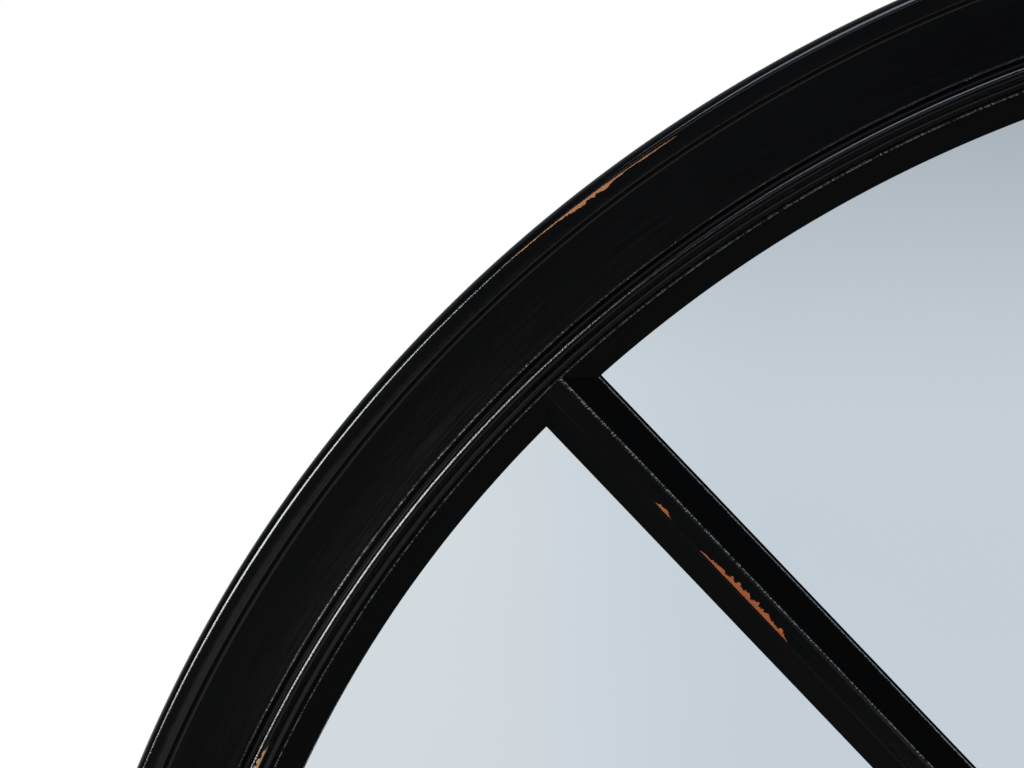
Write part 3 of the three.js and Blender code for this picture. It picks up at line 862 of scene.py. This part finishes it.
def hanging_ring(s):
    """A D-shaped ring that stands up from its bar, where the wire's ends meet."""
    butt = GAP / 2
    half_bar = s.ring_half - s.ring_corner - butt
    wire = BentWire(s.wire_radius, s.sides // 2, butt)
    wire.push(half_bar)
    wire.bend(s.ring_corner, 90, 8)
    wire.push(s.ring_rise - s.ring_corner)
    wire.bend(s.ring_half, 180, 36)
    wire.push(s.ring_rise - s.ring_corner)
    wire.bend(s.ring_corner, 90, 8)
    wire.push(half_bar)
    return wire.bm


def wall_pad(s):
    """A moulded rubber bumper: tapered, with a rounded rim and a dimple."""
    low, high = GAP, -BACK_Y
    rim, taper, foot, dimple = 1.3 * MM, 0.5 * MM, 0.3 * MM, 1.0 * MM
    r = s.pad_radius
    profile = [(0, low), (r - foot * 2 / 3, low), (r, low + foot)]
    profile += arc((r - taper - rim, high - rim), (rim, rim), 6, 90, 8)
    hollow = ((0.55, 0), (0.48, 0.25), (0.3, 0.9), (0, 1))  # shares of the radius and of the dimple
    profile += [(r * out, high - dimple * down) for out, down in hollow]
    bm = bmesh.new()
    turned(bm, profile, s.sides)
    return bm


def middle_of(node):
    low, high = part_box(node)
    return (low + high) / 2


def make_plated(scene, bm, node, ending):
    make_piece(bm, f"{node}_{ending}", zinc(scene.mirror_finish), node)


def inward_turn(x, z):
    """Turn about Y that points a turn button from its screw over the board."""
    if z > HEAD_Z:
        return math.atan2(z - HEAD_Z, -x)
    if z < LOW.z + REBATE_INSET:
        return math.radians(-90)
    return 0.0 if x < 0 else math.pi


def build_buttons(scene):
    for pivot in nodes_with("turn_button_screw"):
        at = middle_of(pivot)
        bm = turn_button(scene.mirror_fittings)
        settle(bm, at.x, at.z, inward_turn(at.x, at.z))
        make_plated(scene, bm, pivot.replace("_screw", ""), "stamped")


SCREW_TWIST = 0.7  # radians from one screw's recess to the next one's


def build_screws(scene):
    s = scene.mirror_fittings
    for index, node in enumerate(nodes_with("screw")):
        at = middle_of(node)
        bm = screw(s)
        settle(bm, at.x, at.z, SCREW_TWIST * index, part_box(node)[1].y - s.head_height)
        make_plated(scene, bm, node, "turned")


def build_hangers(scene):
    s = scene.mirror_fittings
    for side in ("left", "right"):
        axis = RING_AXES[f"ring_{side}"]
        bm = strap(s)
        settle(bm, axis.x, axis.z)
        make_plated(scene, bm, f"hanger_strap_{side}", "rolled")
        bm = hanging_ring(s)
        settle(bm, axis.x, axis.z, y=axis.y)
        make_plated(scene, bm, f"hanger_ring_{side}", "bent")


def build_pads(scene):
    for node in nodes_with("wall_pad"):
        at = middle_of(node)
        bm = wall_pad(scene.mirror_fittings)
        settle(bm, at.x, at.z)
        make_piece(bm, f"{node}_moulded", rubber(scene.mirror_finish), node)


# ---- Finishes
class Nodes:
    """A node tree, whose nodes are added one by one."""

    def __init__(self, tree):
        self.tree = tree

    def node(self, kind, settings=None, **inputs):
        made = self.tree.nodes.new(f"ShaderNode{kind}")
        for key, value in (settings or {}).items():
            setattr(made, key, value)
        for key, value in inputs.items():
            self.feed(made, key.replace("_", " "), value)
        return made

    def feed(self, node, socket, value):
        """Links or sets an input, named or numbered."""
        target = node.inputs[int(socket)] if socket.isdigit() else node.inputs[socket]
        if isinstance(value, bpy.types.NodeSocket):
            self.tree.links.new(value, target)
        else:
            target.default_value = value

    def math(self, operation, a, b=0.0, clamp=False):
        made = self.node("Math", {"operation": operation, "use_clamp": clamp})
        self.feed(made, "0", a)
        self.feed(made, "1", b)
        return made.outputs[0]

    def ramp(self, value, low, high, start=0.0, end=1.0):
        """A smooth step of value from low to high."""
        made = self.node("MapRange", {"interpolation_type": "SMOOTHSTEP"}, Value=value)
        for socket, number in zip(("From Min", "From Max", "To Min", "To Max"), (low, high, start, end)):
            made.inputs[socket].default_value = number
        return made.outputs[0]

    def mix(self, share, a, b):
        made = self.node("Mix", {"data_type": "RGBA"})
        self.feed(made, "0", share)
        for socket, value in (("6", a), ("7", b)):
            self.feed(made, socket, value if isinstance(value, bpy.types.NodeSocket) else (*value, 1))
        return made.outputs[2]


class Finish(Nodes):
    """A material."""

    def __init__(self, name):
        self.material = bpy.data.materials.new(name)
        self.material.use_nodes = True
        super().__init__(self.material.node_tree)
        self.shader = self.tree.nodes["Principled BSDF"]

    def set(self, **inputs):
        for key, value in inputs.items():
            self.feed(self.shader, key.replace("_", " "), value)

    def grain(self, vector, scale, detail=4.0, roughness=0.6, stretch=None):
        """Noise, from 0 to 1, on coordinates that are stretched first."""
        if stretch:
            vector = self.node("Mapping", Vector=vector, Scale=stretch).outputs[0]
        made = self.node("TexNoise", Vector=vector, Scale=scale, Detail=detail, Roughness=roughness)
        return made.outputs[0]

    def attribute(self, name):
        return self.node("Attribute", {"attribute_name": name}).outputs["Fac"]

    def bump(self, height, distance, strength=1.0, normal=None):
        made = self.node("Bump", Height=height, Distance=distance, Strength=strength)
        if normal is not None:
            self.feed(made, "Normal", normal)
        return made.outputs[0]

    @property
    def place(self):
        return self.node("TexCoord").outputs["Object"]

    @property
    def run(self):
        return self.node("UVMap", {"uv_map": PATTERN}).outputs[0]


_made = {}


def once(function):
    """Makes each finish one time only."""

    def made(finish):
        if function not in _made:
            _made[function] = function(finish)
        return _made[function]

    return made


@once
def black_paint(c):
    """Glossy black lacquer, brushed along the run, greyed on the arrises by wear and by a painted highlight,
    and rubbed through in places.
    """
    f = Finish("black_lacquer")
    place, run = f.place, f.run
    side, reach, harder, arris = (f.attribute(name) for name in WEAR)

    streaks = f.grain(run, 1, 5, 0.65, (22, 1500, 1))
    cloud = f.grain(place, 14, 3)
    ticks = f.grain(run, 1, 3, 0.6, (1500, 260, 1))
    teeth = f.grain(run, 1, 4, 0.6, (420, 160, 1))
    nicks = f.grain(place, 1500, 3, 0.6)

    # Bare wood starts at the straight side, and ends where the ragged one has got to.
    limit = f.math("MULTIPLY", reach, f.ramp(teeth, 0.34, 0.62, 0.4, 1.0))
    start = f.ramp(nicks, 0.3, 0.7, -0.012, 0.022)
    inside = f.math("MINIMUM", f.math("SUBTRACT", side, start), f.math("SUBTRACT", limit, side))
    here = f.ramp(reach, 0.01, 0.06)
    bare = f.math("MULTIPLY", f.ramp(inside, 0.0, 0.012), here)
    edge = f.math("MULTIPLY", f.ramp(inside, -0.03, 0.0), here)
    fibres = f.grain(run, 1, 4, 0.6, (90, 2600, 1))
    wood = f.mix(f.ramp(fibres, 0.3, 0.7), c.bare_wood, [v * 0.72 for v in c.bare_wood])
    pale = f.mix(f.ramp(fibres, 0.3, 0.7), c.pale_wood, [v * 0.8 for v in c.pale_wood])
    wood = f.mix(harder, wood, pale)
    black = f.mix(f.ramp(cloud, 0.3, 0.7), c.paint, [v * 1.6 for v in c.paint])
    # The grey on the arrises is worn paint and also a painted highlight that stands in for the glint on those
    # corners
    thin_and_glint = f.math("MULTIPLY", f.ramp(arris, 0.6, 0.9), f.ramp(ticks, 0.38, 0.66))
    black = f.mix(thin_and_glint, black, c.thinned_and_glint)
    painted = f.mix(f.math("MULTIPLY", edge, 0.8), black, c.undercoat)
    f.set(Base_Color=f.mix(bare, painted, wood))

    dull = f.math("ADD", f.ramp(streaks, 0.3, 0.75, 0.11, 0.19), f.math("MULTIPLY", arris, 0.05))
    f.set(Roughness=f.math("ADD", dull, f.math("MULTIPLY", bare, 0.4)))
    f.shader.inputs["Specular IOR Level"].default_value = 0.05

    brushed = f.bump(streaks, 0.00003, 0.5)
    uneven = f.bump(f.math("MULTIPLY", ticks, arris), 0.00030, 1.0, brushed)
    dents = f.bump(f.ramp(f.grain(place, 160, 2), 0.35, 0.65), 0.00003, 0.5, uneven)
    f.set(Normal=f.bump(f.math("SUBTRACT", 1.0, bare), 0.00018, 0.9, dents))
    return f.material


@once
def silvering(c):
    """Mirror, a touch cool, with the faintest haze of wiping."""
    f = Finish("silvered_plate")
    wipe = f.grain(f.place, 5, 3, 0.5, (1, 1, 2.2))
    f.set(
        Base_Color=f.mix(f.ramp(wipe, 0.35, 0.7), c.silvering, [v * 0.985 for v in c.silvering]),
        Metallic=1.0,
        Roughness=f.ramp(wipe, 0.4, 0.8, 0.012, 0.03),
    )
    return f.material


@once
def hardboard(c):
    """Pressed fibre board: fine felted fibres and darker flecks."""
    f = Finish("pressed_fibre_board")
    place = f.place
    felt = f.grain(place, 420, 6, 0.7)
    cloud = f.grain(place, 9, 4)
    flecks = f.grain(place, 260, 2, 0.5, (1, 1, 0.4))
    base = f.mix(f.ramp(felt, 0.3, 0.7), [v * 0.72 for v in c.board], [min(1, v * 1.3) for v in c.board])
    base = f.mix(f.ramp(cloud, 0.35, 0.7, 0.0, 0.35), base, [v * 0.6 for v in c.board])
    base = f.mix(f.ramp(flecks, 0.66, 0.72), base, [v * 0.3 for v in c.board])
    f.set(Base_Color=base, Roughness=f.ramp(felt, 0.3, 0.7, 0.5, 0.72))
    f.set(Normal=f.bump(felt, 0.00012, 0.7))
    return f.material


@once
def zinc(c):
    """Zinc-plated steel with a soft spangle, a little scratched and dulled."""
    f = Finish("zinc_plated_steel")
    place = f.place
    spangle = f.grain(place, 300, 2, 0.5)
    rubbed = f.grain(place, 1, 3, 0.6, (2600, 2600, 260))
    stain = f.grain(place, 60, 4, 0.6)
    base = f.mix(f.ramp(spangle, 0.35, 0.65), c.zinc, [v * 0.86 for v in c.zinc])
    base = f.mix(f.ramp(stain, 0.58, 0.75, 0.0, 0.5), base, (0.30, 0.27, 0.20))
    f.set(Base_Color=base, Metallic=1.0, Roughness=f.ramp(stain, 0.3, 0.75, 0.26, 0.46))
    f.set(Normal=f.bump(rubbed, 0.00003, 0.4))
    return f.material


@once
def rubber(c):
    """Moulded black rubber with a fine bloom of dust."""
    f = Finish("moulded_rubber")
    place = f.place
    dust = f.grain(place, 180, 5, 0.65)
    base = f.mix(f.ramp(dust, 0.5, 0.8, 0.0, 0.5), c.rubber, (0.05, 0.048, 0.045))
    f.set(Base_Color=base, Roughness=f.ramp(dust, 0.3, 0.7, 0.62, 0.85))
    f.set(Normal=f.bump(f.grain(place, 900, 3), 0.00008, 0.6))
    return f.material


@once
def beech(c):
    """Compressed beech with short dark rays."""
    f = Finish("beech_tenon")
    place = f.place
    rays = f.grain(place, 1, 3, 0.6, (500, 500, 120))
    tone = f.grain(place, 30, 3)
    base = f.mix(f.ramp(rays, 0.55, 0.7), c.beech, [v * 0.6 for v in c.beech])
    base = f.mix(f.ramp(tone, 0.3, 0.7, 0.0, 0.4), base, [v * 0.8 for v in c.beech])
    f.set(Base_Color=base, Roughness=f.ramp(tone, 0.3, 0.7, 0.6, 0.75), Normal=f.bump(rays, 0.0001, 0.6))
    return f.material


# ---- Studio
CAMERA_AT = (-0.2382, -0.7812, 0.4386)
CAMERA_FORWARD = (-0.0907, 0.9890, -0.1167)
CAMERA_UP = (-0.0291, 0.1145, 0.9930)


def facing(at, target, up=UP):
    """Turns something that looks along its -Z from one point to another."""
    back = (Vector(at) - Vector(target)).normalized()
    right = Vector(up).cross(back).normalized()
    return Matrix.Translation(at) @ Matrix((right, back.cross(right), back)).transposed().to_4x4()


def build_camera(s):
    data = bpy.data.cameras.new("camera")
    data.sensor_width = 36
    data.lens = s.focal_length
    camera = bpy.data.objects.new("camera", data)
    target = Vector(CAMERA_AT) + Vector(CAMERA_FORWARD)
    camera.matrix_world = facing(CAMERA_AT, target, CAMERA_UP)
    bpy.context.scene.collection.objects.link(camera)
    bpy.context.scene.camera = camera


def lacquered():
    """The collection of painted pieces: the cards light them alone, and stay out of the mirror."""
    name = "lacquered"
    return bpy.data.collections.get(name) or bpy.data.collections.new(name)


def area_light(name, at, target, size, radiance=None, power=None, tint=(1, 1, 1), seen_by="gloss"):
    """A soft box with a radiance or a power, seen by glossy surfaces, by matt ones or by both."""
    data = bpy.data.lights.new(name, "AREA")
    data.shape = "RECTANGLE"
    data.size, data.size_y = size
    data.color = tint
    data.energy = power if power else radiance * math.pi * size[0] * size[1]
    light = bpy.data.objects.new(name, data)
    light.matrix_world = facing(at, target)
    light.visible_camera = False
    light.visible_diffuse = seen_by != "gloss"
    light.visible_glossy = seen_by != "matt"
    if seen_by == "gloss":
        light.light_linking.receiver_collection = lacquered()
    bpy.context.scene.collection.objects.link(light)


COOL = (0.80, 0.84, 1.0)


def build_lights(s):
    head = (-0.3, 0, 0.3)
    area_light("left_softbox", (-1.67, -1.80, 0.49), head, (1.3, 0.62), radiance=s.softbox)
    area_light("overhead_card", (-0.90, -0.66, 2.2), head, (1.0, 1.0), radiance=s.overhead, tint=COOL)
    area_light("low_card", (0.2, -1.83, -0.62), head, (1.3, 0.5), radiance=s.low_card)
    area_light("upper_card", (-0.40, -1.98, 1.05), head, (0.8, 0.4), radiance=s.upper_card, tint=COOL)
    area_light("front_key", (-1.4, -2.6, 2.2), (0, 0, -0.1), (2.2, 1.6), power=s.key, seen_by="matt")
    area_light("rear_light", (1.2, 2.4, 1.8), (0, 0, -0.1), (2.0, 1.6), power=s.rear, seen_by="both")


WORLD_DARK = (0.26, 0.295, 0.33)
WORLD_PALE = (0.60, 0.655, 0.71)
WORLD_LEFT = (0.70, 0.74, 0.77)
WORLD_LOW = (1.7, 1.75, 1.8)


def build_world():
    """A pale studio: lighter below the horizon and to the left, and pure white behind the object."""
    world = bpy.data.worlds.new("studio")
    world.use_nodes = True
    world.node_tree.nodes.clear()
    n = Nodes(world.node_tree)
    direction = n.node("SeparateXYZ", Vector=n.node("TexCoord").outputs["Generated"]).outputs
    lower = n.mix(n.ramp(direction["X"], 0.02, -0.13), WORLD_PALE, WORLD_LEFT)
    lower = n.mix(n.ramp(direction["Z"], -0.29, -0.5), lower, WORLD_LOW)
    room = n.node("Background", Color=n.mix(n.ramp(direction["Z"], 0.12, -0.14), WORLD_DARK, lower))
    white = n.node("Background", Color=(1, 1, 1, 1))
    either = n.node("MixShader", Fac=n.node("LightPath").outputs["Is Camera Ray"])
    n.feed(either, "1", room.outputs[0])
    n.feed(either, "2", white.outputs[0])
    n.node("OutputWorld", Surface=either.outputs[0])
    bpy.context.scene.world = world


def floor_paint(c, radius):
    """Pale paint that thins out to nothing towards the rim."""
    f = Finish("studio_floor")
    place = f.place
    away = f.node("VectorMath", {"operation": "LENGTH"}, **{"0": place}).outputs["Value"]
    tone = f.grain(place, 3, 3)
    f.set(Base_Color=f.mix(tone, c.floor, [v * 0.97 for v in c.floor]), Roughness=0.85)
    f.set(Alpha=f.ramp(away, radius * 0.98, radius * 0.45))
    f.shader.inputs["Specular IOR Level"].default_value = 0
    return f.material


def build_floor(scene):
    radius = scene.mirror_studio.floor_radius
    bm = bmesh.new()
    bmesh.ops.create_circle(bm, cap_ends=True, segments=96, radius=radius)
    mesh = bpy.data.meshes.new("floor")
    bm.to_mesh(mesh)
    bm.free()
    mesh.materials.append(floor_paint(scene.mirror_finish, radius))
    floor = bpy.data.objects.new("floor", mesh)
    floor.location.z = LOW.z
    bpy.context.scene.collection.objects.link(floor)


def build_stage(scene):
    scene.view_settings.view_transform = "Standard"
    build_camera(scene.mirror_studio)
    build_lights(scene.mirror_studio)
    build_world()
    build_floor(scene)


# ---- Operators
class MirrorStep:
    """What the operators share: each makes its pieces, and raises what goes wrong."""

    bl_options = {"REGISTER", "UNDO"}

    def execute(self, context):
        type(self).build(context.scene)
        return {"FINISHED"}


class MIRROR_OT_stage(MirrorStep, bpy.types.Operator):
    """Set up the floor, the soft light and the camera"""

    bl_idname = "window_mirror.stage"
    bl_label = "Stage"
    build = build_stage


class MIRROR_OT_moulding(MirrorStep, bpy.types.Operator):
    """Sweep the seven lengths of moulding, with their rubbed corners"""

    bl_idname = "window_mirror.moulding"
    bl_label = "Moulding"
    build = build_moulding


class MIRROR_OT_lining(MirrorStep, bpy.types.Operator):
    """Sweep the lining strips inside the moulding"""

    bl_idname = "window_mirror.lining"
    bl_label = "Lining strips"
    build = build_lining


class MIRROR_OT_bars(MirrorStep, bpy.types.Operator):
    """Make the glazing bars and scribe their ends"""

    bl_idname = "window_mirror.bars"
    bl_label = "Glazing bars"
    build = build_bars


class MIRROR_OT_plate(MirrorStep, bpy.types.Operator):
    """Make the silvered plate behind the bars"""

    bl_idname = "window_mirror.plate"
    bl_label = "Mirror plate"
    build = build_plate


class MIRROR_OT_board(MirrorStep, bpy.types.Operator):
    """Make the backing board"""

    bl_idname = "window_mirror.board"
    bl_label = "Backing board"
    build = build_board


class MIRROR_OT_tenons(MirrorStep, bpy.types.Operator):
    """Finish the loose tenons in the frame's joints"""

    bl_idname = "window_mirror.tenons"
    bl_label = "Tenons"
    build = dress_tenons


class MIRROR_OT_buttons(MirrorStep, bpy.types.Operator):
    """Make the turn buttons that hold the board"""

    bl_idname = "window_mirror.buttons"
    bl_label = "Turn buttons"
    build = build_buttons


class MIRROR_OT_screws(MirrorStep, bpy.types.Operator):
    """Make the screws of the buttons and the hangers"""

    bl_idname = "window_mirror.screws"
    bl_label = "Screws"
    build = build_screws


class MIRROR_OT_hangers(MirrorStep, bpy.types.Operator):
    """Make the hanger straps and their rings"""

    bl_idname = "window_mirror.hangers"
    bl_label = "Hangers"
    build = build_hangers


class MIRROR_OT_pads(MirrorStep, bpy.types.Operator):
    """Make the rubber pads that rest on the wall"""

    bl_idname = "window_mirror.pads"
    bl_label = "Wall pads"
    build = build_pads


STEPS = (
    MIRROR_OT_stage,
    MIRROR_OT_moulding,
    MIRROR_OT_lining,
    MIRROR_OT_bars,
    MIRROR_OT_plate,
    MIRROR_OT_board,
    MIRROR_OT_tenons,
    MIRROR_OT_buttons,
    MIRROR_OT_screws,
    MIRROR_OT_hangers,
    MIRROR_OT_pads,
)


class VIEW3D_PT_window_mirror(bpy.types.Panel):
    """Lists the steps and the sizes"""

    bl_label = "Window mirror"
    bl_space_type = "VIEW_3D"
    bl_region_type = "UI"
    bl_category = "Window mirror"

    def draw(self, context):
        for step in STEPS:
            self.layout.operator(step.bl_idname)
        for name, group in SETTINGS.items():
            box = self.layout.box()
            settings = getattr(context.scene, name)
            for key in group.__annotations__:
                box.prop(settings, key)


CLASSES = (*SETTINGS.values(), *STEPS, VIEW3D_PT_window_mirror)


def register():
    for made in CLASSES:
        bpy.utils.register_class(made)
    for name, group in SETTINGS.items():
        setattr(bpy.types.Scene, name, PointerProperty(type=group))


def unregister():
    for name in SETTINGS:
        delattr(bpy.types.Scene, name)
    for made in reversed(CLASSES):
        bpy.utils.unregister_class(made)


def main():
    register()
    for step in STEPS:
        group, name = step.bl_idname.split(".")
        getattr(getattr(bpy.ops, group), name)()


if __name__ == "__main__":
    main()
